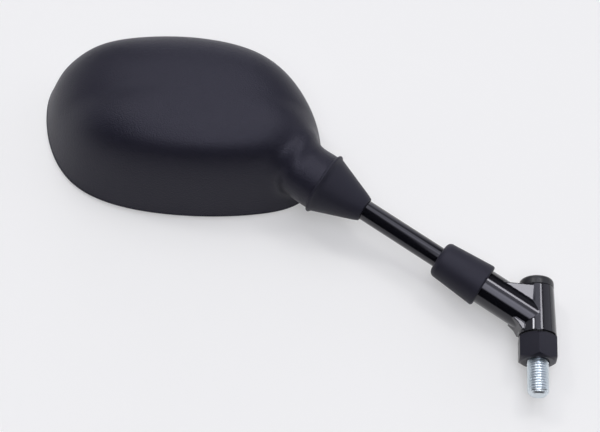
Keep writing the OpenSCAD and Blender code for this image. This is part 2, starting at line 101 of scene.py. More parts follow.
# Finishes of the pieces that keep the construction's form: colour, roughness, metallic, and
# the grain's scale, depth, detail and tint
INNER_FINISHES = {
    "spring_steel": ((0.45, 0.45, 0.46), 0.32, 1.0, 900, 0.00002, 2, 0.08),
    "bronze": ((0.6, 0.42, 0.2), 0.42, 1.0, 1500, 0.00004, 3, 0.12),
    "die_cast": ((0.62, 0.62, 0.63), 0.42, 1.0, 900, 0.00005, 3, 0.1),
    "nylon": ((0.8, 0.79, 0.74), 0.4, 0.0, 700, 0.00003, 2, 0.04),
    "inner_plastic": ((0.03, 0.03, 0.032), 0.45, 0.0, 1800, 0.00005, 2, 0.1),
    # Near-black nylon of the thrust washer; its darkness also stands for the shade in the gap
    # between barrel and hex nut: painted shade
    "black_nylon_gap_shade": ((0.004, 0.004, 0.005), 0.6, 0.0, 1800, 0.00005, 2, 0.1),
    "foam": ((0.06, 0.06, 0.062), 0.85, 0.0, 3000, 0.0002, 3, 0.3),
}
INNER_PIECES = {
    # The thrust washer's near-black nylon also paints the shade in the gap under the barrel
    "thrust_washer": "black_nylon_gap_shade", "flat_washer": "zinc", "spring_washers": "spring_steel",
    "top_nut": "zinc", "pivot_bush": "bronze", "lock_washer": "zinc", "lock_nut": "zinc",
    "ball_cup": "nylon", "ball_ring": "nylon", "socket_base": "die_cast",
    "pressure_plate": "zinc", "tension_springs": "spring_steel", "retainer_ring": "zinc",
    "backing_plate": "inner_plastic", "plate_screws": "zinc", "foam_pad": "foam",
}


def metres(name, description, default):
    """A length that a user would change."""
    return FloatProperty(name=name, description=description, default=default, unit="LENGTH")


def tone(name, description, default):
    """A colour that a user would change, as linear values."""
    return FloatVectorProperty(name=name, description=description, default=default,
                               subtype="COLOR")


class HousingSizes(bpy.types.PropertyGroup):
    """Sizes of the moulded housing and its neck"""

    rim_y: metres("Rim level", "Height of the rim's plane along Y", 11 * MM)
    depth: metres("Depth", "Depth of the housing behind its rim", 43.3 * MM)
    fullness: FloatProperty(name="Fullness", description="How full the side walls are",
                            default=3.1)
    fullness_low: FloatProperty(name="Lower fullness", description="How full the lower wall is",
                                default=6)
    draft: FloatProperty(name="Draft", description="Share by which the walls draw in",
                         default=0.14)
    back_shift: FloatVectorProperty(name="Back shift", description="Shift of the back in X and Z",
                                    size=2, default=(5.4 * MM, 8.1 * MM), unit="LENGTH")
    wall: metres("Wall", "Thickness of the moulded wall", 2.5 * MM)
    rim_w: metres("Rim width", "Width of the rim round the glass pocket", 4 * MM)
    pocket_y: metres("Pocket floor", "Level of the glass pocket's floor", 3.24 * MM)
    neck_r: metres("Neck radius", "Outer radius of the neck", 14.1 * MM)
    post_r: metres("Post", "Radius of the backing plate's screw posts", 3.5 * MM)
    flare: metres("Flare", "How far the neck widens into the housing", 6 * MM)
    voxel: metres("Voxel", "Grid on which neck and housing are fused", 0.7 * MM)
    blend: metres("Blend", "Reach of the soft blend round the neck", 13 * MM)
    blend_passes: IntProperty(name="Blend passes", description="Smoothing passes of that blend",
                              default=220)


class StemSizes(bpy.types.PropertyGroup):
    """Sizes of the rod, the rubber sleeve and the rubber boot"""

    rod_r: metres("Rod radius", "Radius of the painted rod", 5 * MM)
    sleeve_at: metres("Sleeve place", "Distance of the sleeve's lower end", 29.4 * MM)
    sleeve_l: metres("Sleeve length", "Length of the sleeve", 24.6 * MM)
    sleeve_low_r: metres("Sleeve foot", "Radius of its lower end", 10.6 * MM)
    sleeve_high_r: metres("Sleeve top", "Radius of its upper end", 8.7 * MM)
    boot_at: metres("Boot place", "Distance of the boot's narrow end", 95.5 * MM)
    boot_l: metres("Boot length", "Length of the boot", 23.8 * MM)
    boot_thin_r: metres("Boot narrow end", "Radius of its narrow end", 6.1 * MM)
    boot_wide_r: metres("Boot wide end", "Radius of its wide end", 14.6 * MM)


class MountSizes(bpy.types.PropertyGroup):
    """Sizes of the knuckle, its cap, the hex nut and the threaded stud"""

    barrel_z: metres("Barrel foot", "Level of the barrel's foot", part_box("knuckle")[0].z)
    barrel_top: metres("Barrel top", "Level of the barrel's top",
                       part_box("knuckle")[0].z + 23.6 * MM)
    barrel_foot_r: metres("Barrel foot radius", "Radius at its foot", 8.9 * MM)
    barrel_top_r: metres("Barrel top radius", "Radius at its top", 8 * MM)
    arm_r: metres("Arm radius", "Radius of the knuckle's arm", 8.5 * MM)
    arm_l: metres("Arm length", "Length of the arm from the stud's axis", 38 * MM)
    web_t: metres("Web", "Thickness of the web between arm and barrel", 15 * MM)
    cap_h: metres("Cap height", "Height of the cap over the barrel", 5.4 * MM)
    hex_af: metres("Hex", "Width across the nut's flats", 17 * MM)
    hex_h: metres("Hex height", "Height of the nut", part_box("hex_nut")[1].z)
    stud_r: metres("Stud radius", "Outer radius of the mounting thread", 5 * MM)
    pitch: metres("Pitch", "Pitch of the mounting thread", 1.25 * MM)


class Finishes(bpy.types.PropertyGroup):
    """Colours of the finishes, as linear values"""

    housing: tone("Housing", "Grained housing plastic", (0.015, 0.0145, 0.024))
    rubber: tone("Rubber", "Boot and sleeve", (0.022, 0.0216, 0.031))
    paint: tone("Paint", "Gloss paint on rod and knuckle", (0.006, 0.006, 0.008))
    oxide: tone("Black plate", "Satin black of the hex nut", (0.012, 0.0117, 0.017))
    zinc: tone("Zinc", "Bright zinc plate", (0.72, 0.78, 0.82))


class StudioSettings(bpy.types.PropertyGroup):
    """Backdrop, light and camera"""

    backdrop: tone("Backdrop", "Pale colour behind the object", (0.847, 0.847, 0.847))
    tint: FloatVectorProperty(name="Room's tint", description="Colour of the room's soft light",
                              subtype="COLOR", default=(0.97, 0.98, 1.08), max=2)
    floor: tone("Floor", "Colour of the floor as it is seen", (0.645, 0.638, 0.618))
    floor_unseen: tone("Floor's return", "Colour of the light that the floor throws back",
                       (0.40, 0.40, 0.40))
    floor_glow: FloatProperty(name="Floor's paleness", default=0.31,
                              description="Whiteness added where it is seen")


# Colour of the gloss on the dark plastics, rubber and paint, which looks slightly blue
DARK_GLOSS = (0.88, 0.86, 1.0)


def direction(azimuth, elevation):
    """Where a light comes from: azimuth from the front towards +X, and elevation, in degrees."""
    a, e = math.radians(azimuth), math.radians(elevation)
    return Vector((math.sin(a) * math.cos(e), -math.cos(a) * math.cos(e), math.sin(e)))


def sizes(group):
    """The values of one property group."""
    return getattr(bpy.context.scene, "mirror_" + group)


def stem_matrix(distance):
    """Carries +Z onto the stem, with the origin at a distance from the stud's axis."""
    polar = math.acos(STEM_DIR.z)
    azimuth = math.atan2(STEM_DIR.y, STEM_DIR.x)
    place = Matrix.Translation(STEM_FOOT + distance * STEM_DIR)
    return place @ Matrix.Rotation(azimuth, 4, "Z") @ Matrix.Rotation(polar, 4, "Y")


def deselect():
    if bpy.context.mode != "OBJECT":
        bpy.ops.object.mode_set(mode="OBJECT")
    bpy.ops.object.select_all(action="DESELECT")


def activate(piece):
    deselect()
    piece.select_set(True)
    bpy.context.view_layer.objects.active = piece


def edit_all():
    bpy.ops.object.mode_set(mode="EDIT")
    bpy.ops.mesh.select_mode(type="VERT")
    bpy.ops.mesh.select_all(action="SELECT")


def close_up(piece, merge=1e-6):
    """Merges the seams of a piece and turns its faces outwards."""
    activate(piece)
    edit_all()
    bpy.ops.mesh.remove_doubles(threshold=merge)
    bpy.ops.mesh.normals_make_consistent(inside=False)
    bpy.ops.object.mode_set(mode="OBJECT")


def put_on_stem(piece, distance):
    """Carries a piece that was made about +Z to its place on the stem."""
    activate(piece)
    piece.matrix_world = stem_matrix(distance)
    bpy.ops.object.transform_apply()


def turned(name, stations, segments=ROUND):
    """A turned piece about +Z: a ring is extruded through stations of radius, height and shift."""
    least = 1e-6
    radius, height, shift = stations[0]
    radius = max(radius, least)
    deselect()
    bpy.ops.mesh.primitive_circle_add(vertices=segments, radius=radius,
                                      location=(shift, 0, height))
    piece = bpy.context.object
    piece.name = name
    bpy.ops.object.transform_apply()
    edit_all()
    for next_radius, next_height, next_shift in stations[1:]:
        next_radius = max(next_radius, least)
        step = (next_shift - shift, 0, next_height - height)
        bpy.ops.mesh.extrude_region_move(TRANSFORM_OT_translate={"value": step})
        grow = next_radius / radius
        bpy.ops.transform.resize(value=(grow, grow, 1),
                                 center_override=(next_shift, 0, next_height))
        radius, height, shift = next_radius, next_height, next_shift
    bpy.ops.object.mode_set(mode="OBJECT")
    close_up(piece, 5 * least)
    return piece


def straight(profile):
    """Stations without a sideways shift, from radius and height in millimetres."""
    return [(radius * MM, height * MM, 0) for radius, height in profile]


def arc(middle, radius, start, end, steps):
    """Points of a round corner in a profile, angles in degrees from +radius towards +height."""
    turn = [math.radians(start + (end - start) * i / steps) for i in range(steps + 1)]
    return [(middle[0] + radius * math.cos(a), middle[1] + radius * math.sin(a)) for a in turn]


def cut(piece, tool, operation="DIFFERENCE"):
    """Cuts a piece with another, or joins or intersects them, and removes the tool."""
    activate(piece)
    modifier = piece.modifiers.new("cut", "BOOLEAN")
    modifier.operation = operation
    modifier.solver = "EXACT"
    modifier.object = tool
    bpy.ops.object.modifier_apply(modifier=modifier.name)
    bpy.data.objects.remove(tool)


def bevel(piece, width, segments, angle):
    """Rounds the edges that are sharper than an angle in degrees."""
    activate(piece)
    modifier = piece.modifiers.new("edges", "BEVEL")
    modifier.width = width
    modifier.segments = segments
    modifier.limit_method = "ANGLE"
    modifier.angle_limit = math.radians(angle)
    bpy.ops.object.modifier_apply(modifier=modifier.name)


def smooth_shade(piece, angle):
    """Shades a piece smooth, apart from its edges sharper than an angle in degrees."""
    activate(piece)
    bpy.ops.object.shade_smooth_by_angle(angle=math.radians(angle))


def fuse(piece, voxel):
    """Fuses what a mesh holds into one skin on a fine grid."""
    activate(piece)
    piece.data.remesh_voxel_size = voxel
    piece.data.use_remesh_fix_poles = False
    bpy.ops.object.voxel_remesh()


def soften(piece, passes, group=""):
    """Smooths a skin, by the weights of a vertex group where one is given."""
    activate(piece)
    modifier = piece.modifiers.new("soften", "SMOOTH")
    modifier.factor = 0.5
    modifier.iterations = passes
    modifier.vertex_group = group
    bpy.ops.object.modifier_apply(modifier=modifier.name)


def dress(piece, material, body, *nodes, slot):
    """Gives a finished piece its material and its body, and hides the nodes it stands for; its
    slot is not used.
    """
    piece.data.materials.clear()
    piece.data.materials.append(material)
    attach(piece, body)
    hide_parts(*nodes)


def rim_outline(steps=12):
    """The rim's outline, a closed cubic spline with some steps for each control point."""
    count = len(RIM_CONTROL)
    points = []
    for i in range(count):
        a, b, c, d = (Vector(RIM_CONTROL[(i + k) % count]) * MM for k in (-1, 0, 1, 2))
        for j in range(steps):
            t = j / steps
            near = (3 * t**3 - 6 * t**2 + 4) * b + (-3 * t**3 + 3 * t**2 + 3 * t + 1) * c
            points.append(((1 - t) ** 3 * a + near + t**3 * d) / 6)
    return points


def inset(outline, distance):
    """The outline moved inwards."""
    count = len(outline)
    moved = []
    for i, point in enumerate(outline):
        along = outline[(i + 1) % count] - outline[i - 1]
        moved.append(point + distance * Vector((-along.y, along.x)) / along.length)
    return moved


def middle_of(outline):
    return sum(outline, Vector((0, 0))) / len(outline)


def outline_face(name, outline, y):
    """A flat face with the given outline in X and Z at a level along Y."""
    deselect()
    bpy.ops.mesh.primitive_circle_add(vertices=len(outline), fill_type="NGON")
    piece = bpy.context.object
    piece.name = name
    for vertex, point in zip(piece.data.vertices, outline):
        vertex.co = (point.x, y, point.y)
    return piece


def loop_step(piece, places, before=None):
    """Extrudes the selected loop and moves each point to the place that its old place goes to."""
    bpy.ops.mesh.extrude_region_move(TRANSFORM_OT_translate={"value": (0, 0, 0)})
    before = before or places
    tree = kdtree.KDTree(len(before))
    for i, point in enumerate(before):
        tree.insert(point, i)
    tree.balance()
    mesh = bmesh.from_edit_mesh(piece.data)
    for vertex in mesh.verts:
        if vertex.select:
            vertex.co = places[tree.find(vertex.co)[1]]
    bmesh.update_edit_mesh(piece.data)


def at_level(outline, y):
    return [Vector((point.x, y, point.y)) for point in outline]


def dome(name, outline, deep, rings):
    """A closed dome: the rim's face is extruded ring by ring to the back, drawn in and shifted."""
    s = sizes("housing")
    nearly_back = 0.9995
    rim = rim_outline()
    centre = middle_of(rim)
    half = (max(p.y for p in rim) - min(p.y for p in rim)) / 2
    fulls = []
    for point in outline:
        low = min(max((centre.y - point.y) / half, 0), 1)
        fulls.append(s.fullness + (s.fullness_low - s.fullness) * low * low * (3 - 2 * low))
    piece = outline_face(name, outline, s.rim_y)
    edit_all()
    last = at_level(outline, s.rim_y)
    for ring in range(1, rings + 1):
        share = math.sin(math.pi / 2 * min(ring / rings, nearly_back)) ** (2 / s.fullness)
        middle = centre + share * Vector(s.back_shift)
        places = []
        for point, full in zip(outline, fulls):
            size = (1 - s.draft * share) * (1 - share ** full) ** (1 / full)
            place = middle + size * (point - centre)
            places.append(Vector((place.x, s.rim_y - deep * share, place.y)))
        loop_step(piece, places, last)
        last = places
    close_up(piece, 1e-7)
    return piece


def neck_horn(name):
    """The neck: a tube along the stem that widens upwards as it runs into the housing."""
    s = sizes("housing")
    stem = sizes("stem")
    start = stem.boot_at + stem.boot_l - 2 * MM
    straight_end = start + 11 * MM
    stations = [(0, start, 0), (s.neck_r, start, 0), (s.neck_r, straight_end, 0)]
    steps, widest = 8, math.radians(80)
    for step in range(1, steps + 1):
        angle = widest * step / steps
        grow = s.flare * (1 - math.cos(angle))
        stations.append((s.neck_r + grow / 2, straight_end + s.flare * math.sin(angle), -grow / 2))
    last_r, last_at, last_shift = stations[-1]
    stations.append((last_r * 0.75, last_at + 14 * MM, last_shift - 4 * MM))
    stations.append((last_r * 0.3, last_at + 24 * MM, last_shift - 9 * MM))
    stations.append((0, stations[-1][1] + 1 * MM, stations[-1][2]))
    horn = turned(name, stations, COARSE)
    put_on_stem(horn, 0)
    return horn


def blend_group(piece, body, reach):
    """Weights for the soft blend: full where the neck meets the housing, fading over the reach."""
    s = sizes("housing")
    lip, lip_fade = s.rim_y - 3 * MM, 5 * MM
    group = piece.vertex_groups.new(name="blend")
    for vertex in piece.data.vertices:
        point = vertex.co
        off = point - STEM_FOOT
        along = off.dot(STEM_DIR)
        from_tube = abs((off - along * STEM_DIR).length - s.neck_r)
        if from_tube > reach or point.y > lip:
            continue
        found, near, _, _ = body.closest_point_on_mesh(point, distance=reach)
        if not found:
            continue
        from_crease = max(from_tube, (point - near).length)
        t = max(0.0, 1 - from_crease / reach)
        edge = min(1.0, (lip - point.y) / lip_fade)
        group.add([vertex.index], t * t * (3 - 2 * t) * edge, "REPLACE")


def grain(material, scale, depth, detail, tint=0.0, roughness=0.0):
    """Fine moulded grain: a bump, and a slight change of colour and gloss, from one noise."""
    nodes, links = material.node_tree.nodes, material.node_tree.links
    shader = nodes["Principled BSDF"]
    place = nodes.new("ShaderNodeTexCoord")
    noise = nodes.new("ShaderNodeTexNoise")
    noise.inputs["Scale"].default_value = scale
    noise.inputs["Detail"].default_value = detail
    bump = nodes.new("ShaderNodeBump")
    bump.inputs["Distance"].default_value = depth
    links.new(place.outputs["Object"], noise.inputs["Vector"])
    links.new(noise.outputs["Fac"], bump.inputs["Height"])
    links.new(bump.outputs["Normal"], shader.inputs["Normal"])
    if tint:
        colour = list(shader.inputs["Base Color"].default_value)[:3]
        mix = nodes.new("ShaderNodeMix")
        mix.data_type = "RGBA"
        mix.inputs["A"].default_value = (*[c * (1 - tint) for c in colour], 1)
        mix.inputs["B"].default_value = (*[c * (1 + tint) for c in colour], 1)
        links.new(noise.outputs["Fac"], mix.inputs["Factor"])
        links.new(mix.outputs["Result"], shader.inputs["Base Color"])
    if roughness:
        base = shader.inputs["Roughness"].default_value
        spread = nodes.new("ShaderNodeMapRange")
        spread.inputs["To Min"].default_value = base - roughness
        spread.inputs["To Max"].default_value = base + roughness
        links.new(noise.outputs["Fac"], spread.inputs["Value"])
        links.new(spread.outputs["Result"], shader.inputs["Roughness"])
    return material


def finish(name, colour, roughness, metallic=0.0, coat=0.0, specular=0.5, gloss=(1, 1, 1)):
    """A plain material, with the colour of its gloss."""
    material = bpy.data.materials.new(name)
    material.use_nodes = True
    shader = material.node_tree.nodes["Principled BSDF"]
    shader.inputs["Base Color"].default_value = (*colour, 1)
    shader.inputs["Roughness"].default_value = roughness
    shader.inputs["Metallic"].default_value = metallic
    shader.inputs["Coat Weight"].default_value = coat
    shader.inputs["Coat Roughness"].default_value = 0.04
    shader.inputs["Specular IOR Level"].default_value = specular
    shader.inputs["Specular Tint"].default_value = (*gloss, 1)
    return material


def housing_plastic():
    material = finish("housing_plastic", sizes("finish").housing, 0.42, specular=0.35,
                      gloss=DARK_GLOSS)
    return grain(material, 1500, 0.0002, 2, tint=0.10, roughness=0.05)


def moulded_rubber():
    material = finish("rubber", sizes("finish").rubber, 0.5, specular=0.3, gloss=DARK_GLOSS)
    return grain(material, 3400, 0.00008, 3, tint=0.12, roughness=0.05)


def gloss_paint():
    material = finish("gloss_paint", sizes("finish").paint, 0.12, coat=0.5, specular=0.35,
                      gloss=DARK_GLOSS)
    return grain(material, 90, 0.00002, 1)


def black_plate():
    material = finish("black_plate", sizes("finish").oxide, 0.32, specular=0.45, gloss=DARK_GLOSS)
    return grain(material, 1500, 0.00004, 2, tint=0.15, roughness=0.06)


def zinc_plate():
    material = finish("zinc_plate", sizes("finish").zinc, 0.34, metallic=1.0)
    return grain(material, 1200, 0.00002, 2, tint=0.06, roughness=0.06)


class MIRROR_OT_housing(bpy.types.Operator):
    """Model the moulded housing with its neck, rim and pocket"""

    bl_idname = "mirror.housing"
    bl_label = "Housing"

    def execute(self, context):
        s = sizes("housing")
        shell = dome("housing_shell", rim_outline(24), s.depth, rings=44)
        body = dome("body_copy", rim_outline(), s.depth, rings=30)
        horn = neck_horn("neck")
        activate(shell)
        horn.select_set(True)
        bpy.ops.object.join()
        fuse(shell, s.voxel)
        blend_group(shell, body, s.blend)
        soften(shell, s.blend_passes, "blend")
        soften(shell, 3)
        shell.vertex_groups.clear()
        bpy.data.objects.remove(body)
        self.rim(shell)
        self.neck_end(shell)
        self.hollow(shell)
        smooth_shade(shell, 35)
        dress(shell, housing_plastic(), "head", "housing", slot="housing_plastic")
        return {"FINISHED"}

    def rim(self, shell):
        """Cuts the fused skin just below the rim and lays crisp loops for rim and pocket."""
        s = sizes("housing")
        fine = rim_outline(160)
        skin_end = s.rim_y - 1.4 * MM
        activate(shell)
        edit_all()
        bpy.ops.mesh.bisect(plane_co=(0, skin_end, 0), plane_no=(0, 1, 0), clear_outer=True)
        w = s.rim_w / MM
        pocket = (s.pocket_y - s.rim_y) / MM
        levels = [(0, -0.6), (0.1, -0.25), (0.35, 0), (w - 0.3, 0), (w - 0.05, -0.1), (w, -0.4),
                  (w, pocket), (w + 1.5, pocket)]
        for inward, level in levels:
            loop_step(shell, at_level(inset(fine, inward * MM), s.rim_y + level * MM))
        bpy.ops.mesh.edge_face_add()
        bpy.ops.object.mode_set(mode="OBJECT")

    def neck_end(self, shell):
        """Cuts the neck square where the boot meets it, and adds the spigot inside the boot."""
        stem = sizes("stem")
        end = stem.boot_at + stem.boot_l
        activate(shell)
        edit_all()
        bpy.ops.mesh.bisect(plane_co=STEM_FOOT + end * STEM_DIR, plane_no=-STEM_DIR, use_fill=True,
                            clear_outer=True)
        bpy.ops.object.mode_set(mode="OBJECT")
        r = (stem.boot_wide_r - 2 * MM) / MM
        reach, chamfer = 3, 0.4
        profile = [(0, reach), (r, reach), (r, chamfer - reach), (r - chamfer, -reach),
                   (0, -reach)]
        spigot = turned("spigot", straight(profile), COARSE)
        put_on_stem(spigot, end)
        cut(shell, spigot, "UNION")

    def hollow(self, shell):
        """Takes out the inside, leaving the wall and the tube round the ball socket."""
        s = sizes("housing")
        stem = sizes("stem")
        end = stem.boot_at + stem.boot_l
        tube_r, tube_l = 14.1, 33.9
        mouth_r, throat_r, bore_r = 10.7, 7.73, 11.4
        throat, bore_end = 6.7, 34.5
        inner = inset(rim_outline(), s.wall + 0.5 * MM)
        inside = dome("inside", inner, s.depth - s.wall, rings=24)
        tube = [(0, 0), (tube_r, 0), (tube_r, tube_l), (0, tube_l)]
        tube = turned("tube", straight(tube), COARSE)
        put_on_stem(tube, end)
        cut(inside, tube)
        cut(inside, self.pins("posts", s.post_r, 4 * MM, -s.depth))
        past = 2 * MM
        lid = outline_face("lid", inset(rim_outline(), -3 * MM), s.rim_y + past)
        activate(lid)
        edit_all()
        down = (0, s.pocket_y - s.rim_y - past, 0)
        bpy.ops.mesh.extrude_region_move(TRANSFORM_OT_translate={"value": down})
        close_up(lid, 1e-7)
        cut(inside, lid)
        cut(shell, inside)
        bore = [(0, -4), (mouth_r, -4), (mouth_r, -3), (throat_r, throat), (bore_r, throat),
                (bore_r, bore_end), (0, bore_end)]
        bore = turned("bore", straight(bore), COARSE)
        put_on_stem(bore, end)
        cut(shell, bore)
        post_top, screw_r, screw_top, screw_end = 4.52 * MM, 1.35 * MM, 6.1 * MM, -8.3 * MM
        cut(shell, self.pins("post_tops", s.post_r - 0.5 * MM, post_top, 2 * MM), "UNION")
        cut(shell, self.pins("screw_holes", screw_r, screw_top, screw_end))

    def pins(self, name, radius, high, low):
        """Round pins along Y at the places of the backing plate's screws."""
        deselect()
        made = []
        for x, z in POSTS:
            middle = (x * MM, (high + low) / 2, z * MM)
            bpy.ops.mesh.primitive_cylinder_add(vertices=48, radius=radius, depth=high - low,
                                                location=middle, rotation=(math.pi / 2, 0, 0))
            made.append(bpy.context.object)
        activate(made[0])
        for pin in made:
            pin.select_set(True)
        bpy.ops.object.join()
        pins = bpy.context.object
        pins.name = name
        bpy.ops.object.transform_apply()
        return pins


class MIRROR_OT_glass(bpy.types.Operator):
    """Model the convex glass and its rubber seal"""

    bl_idname = "mirror.glass"
    bl_label = "Glass and seal"

    def execute(self, context):
        s = sizes("housing")
        self.seal(s)
        self.pane(s)
        return {"FINISHED"}

    def pane(self, s):
        """The pane: rings inside its outline, laid on a big sphere, then given its thickness."""
        radius, thickness = 1200 * MM, 2 * MM
        level = s.rim_y - 0.6 * MM
        centre = middle_of(rim_outline())
        outline = inset(rim_outline(), s.rim_w + 1.4 * MM)
        pane = outline_face("glass_pane", outline, level)
        edit_all()
        bpy.ops.mesh.delete(type="ONLY_FACE")
        bpy.ops.mesh.select_all(action="SELECT")
        place = (centre.x, 0, centre.y)
        rings = 16
        for ring in range(1, rings):
            bpy.ops.mesh.extrude_region_move(TRANSFORM_OT_translate={"value": (0, 0, 0)})
            shrink = (rings - ring) / (rings - ring + 1)
            bpy.ops.transform.resize(value=(shrink, 1, shrink), center_override=place)
        bpy.ops.mesh.edge_face_add()
        bpy.ops.object.mode_set(mode="OBJECT")
        for vertex in pane.data.vertices:
            off = Vector((vertex.co.x - centre.x, vertex.co.z - centre.y)).length
            vertex.co.y = level - off * off / (2 * radius)
        close_up(pane)
        if pane.data.polygons[0].normal.y < 0:
            edit_all()
            bpy.ops.mesh.flip_normals()
            bpy.ops.object.mode_set(mode="OBJECT")
        activate(pane)
        modifier = pane.modifiers.new("thickness", "SOLIDIFY")
        modifier.thickness = thickness
        modifier.offset = -1
        bpy.ops.object.modifier_apply(modifier=modifier.name)
        bevel(pane, 0.25 * MM, 2, 40)
        smooth_shade(pane, 30)
        silver = finish("mirror_glass", (0.86, 0.88, 0.89), 0.015, metallic=1.0, coat=1.0)
        grain(silver, 6, 0.000002, 0, tint=0.01)
        dress(pane, silver, "head", "mirror_glass", slot="mirror_glass")

    def seal(self, s):
        """A rubber band with a rounded lip between the pocket's wall and the pane."""
        outer = s.rim_w + 0.05 * MM
        inner = s.rim_w + 1.3 * MM
        outline = rim_outline()
        low, high = s.rim_y - 4 * MM, s.rim_y - 0.5 * MM
        levels = [(outer, high - 0.3 * MM), (outer + 0.12 * MM, high - 0.08 * MM),
                  (outer + 0.4 * MM, high), (inner - 0.3 * MM, high),
                  (inner - 0.05 * MM, high - 0.12 * MM), (inner, high - 0.4 * MM),
                  (inner, low), (outer, low)]
        seal = outline_face("glass_seal_band", inset(outline, outer), low)
        edit_all()
        bpy.ops.mesh.delete(type="ONLY_FACE")
        bpy.ops.mesh.select_all(action="SELECT")
        for inward, y in levels:
            loop_step(seal, at_level(inset(outline, inward), y))
        bpy.ops.object.mode_set(mode="OBJECT")
        close_up(seal)
        smooth_shade(seal, 50)
        dress(seal, moulded_rubber(), "head", "glass_seal", slot="rubber")


class MIRROR_OT_boot(bpy.types.Operator):
    """Model the rubber boot in two halves"""

    bl_idname = "mirror.boot"
    bl_label = "Boot"

    def execute(self, context):
        s = sizes("stem")
        rubber = moulded_rubber()
        split, wall, lip, grip_end = 14.5, 1.6, 2.2, 1.5
        thin, wide, length = s.boot_thin_r / MM, s.boot_wide_r / MM, s.boot_l / MM
        hold = s.rod_r / MM + 0.05

        def cone(height):
            return thin + (wide - 0.4 - thin) * height / (length - lip)

        narrow = [(hold, 3), (hold, 0.3), (hold + 0.2, 0)]
        narrow += arc((thin - 0.6, 0.6), 0.6, -90, -20, 4)
        narrow += [(cone(h), h) for h in (2, 4, 6, 8, 10, 12, split)]
        narrow += [(cone(split) - wall, split), (cone(10) - wall, 10), (hold + 0.6, 3.6),
                   (hold, 3)]
        wide_half = [(cone(split) - wall, split), (cone(split), split)]
        wide_half += [(cone(h), h) for h in (16, 18, 20, length - lip)]
        wide_half += arc((wide - 0.05, length - 0.85), 0.8, -60, 80, 8)
        wide_half += [(wide - 0.6, length), (wide - 2, length), (wide - 2, length - 3.3),
                      (wide - 2.8, length - 4), (cone(split) - wall, split)]
        for name, profile, bodies, start, end in (
            ("boot_narrow", narrow, ("rear_seat", "front_seat"), grip_end, split),
            ("boot_wide", wide_half, ("front_seat", "head"), split, length - lip),
        ):
            half = turned(name, straight(profile))
            put_on_stem(half, s.boot_at)
            smooth_shade(half, 50)
            half.data.materials.append(rubber)
            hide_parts("boot")
            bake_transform(half)
        return {"FINISHED"}


class MIRROR_OT_stem(bpy.types.Operator):
    """Model the painted rod with its ball, and the rubber sleeve over the lock nut"""

    bl_idname = "mirror.stem"
    bl_label = "Stem and sleeve"

    def execute(self, context):
        self.rod()
        self.sleeve()
        return {"FINISHED"}

    def rod(self):
        """The painted rod with its neck and ball."""
        s = sizes("stem")
        start = 14.3
        ball_at = BALL_AT / MM - start
        ball_r, neck_r = 7, 3.6
        taper_at, neck_at = ball_at - 27.1, ball_at - 24.1
        r = s.rod_r / MM
        neck_angle = math.degrees(math.asin(neck_r / ball_r)) - 90
        profile = [(0, 0), (r - 1, 0), (r, 1), (r, taper_at), (neck_r, neck_at)]
        profile += arc((0, ball_at), ball_r, neck_angle, 90, 24)
        rod = turned("stem_bar", straight(profile))
        put_on_stem(rod, start * MM)
        smooth_shade(rod, 30)
        dress(rod, gloss_paint(), "arm", "stem_rod", slot="black_paint")

    def sleeve(self):
        """The sleeve: it holds the arm at its foot and the rod at its top."""
        s = sizes("stem")
        low, high, length = s.sleeve_low_r / MM, s.sleeve_high_r / MM, s.sleeve_l / MM
        foot_e, top_e = 1.1, 2.8
        slope = (low - high) / length
        cavity = length - 6
        arm_r = sizes("mount").arm_r / MM + 0.05
        rod_r = s.rod_r / MM + 0.05
        profile = [(arm_r, cavity), (arm_r, 0.3), (arm_r + 0.3, 0)]
        profile += arc((low - foot_e - foot_e * slope, foot_e), foot_e, -80, -4, 6)
        profile += arc((high - top_e + top_e * slope, length - top_e), top_e, -4, 90, 12)
        profile += [(rod_r + 0.4, length), (rod_r, length - 0.4), (rod_r, cavity), (arm_r, cavity)]
        sleeve = turned("rubber_sleeve", straight(profile))
        put_on_stem(sleeve, s.sleeve_at)
        smooth_shade(sleeve, 50)
        dress(sleeve, moulded_rubber(), "sleeve", "nut_sleeve", slot="rubber")


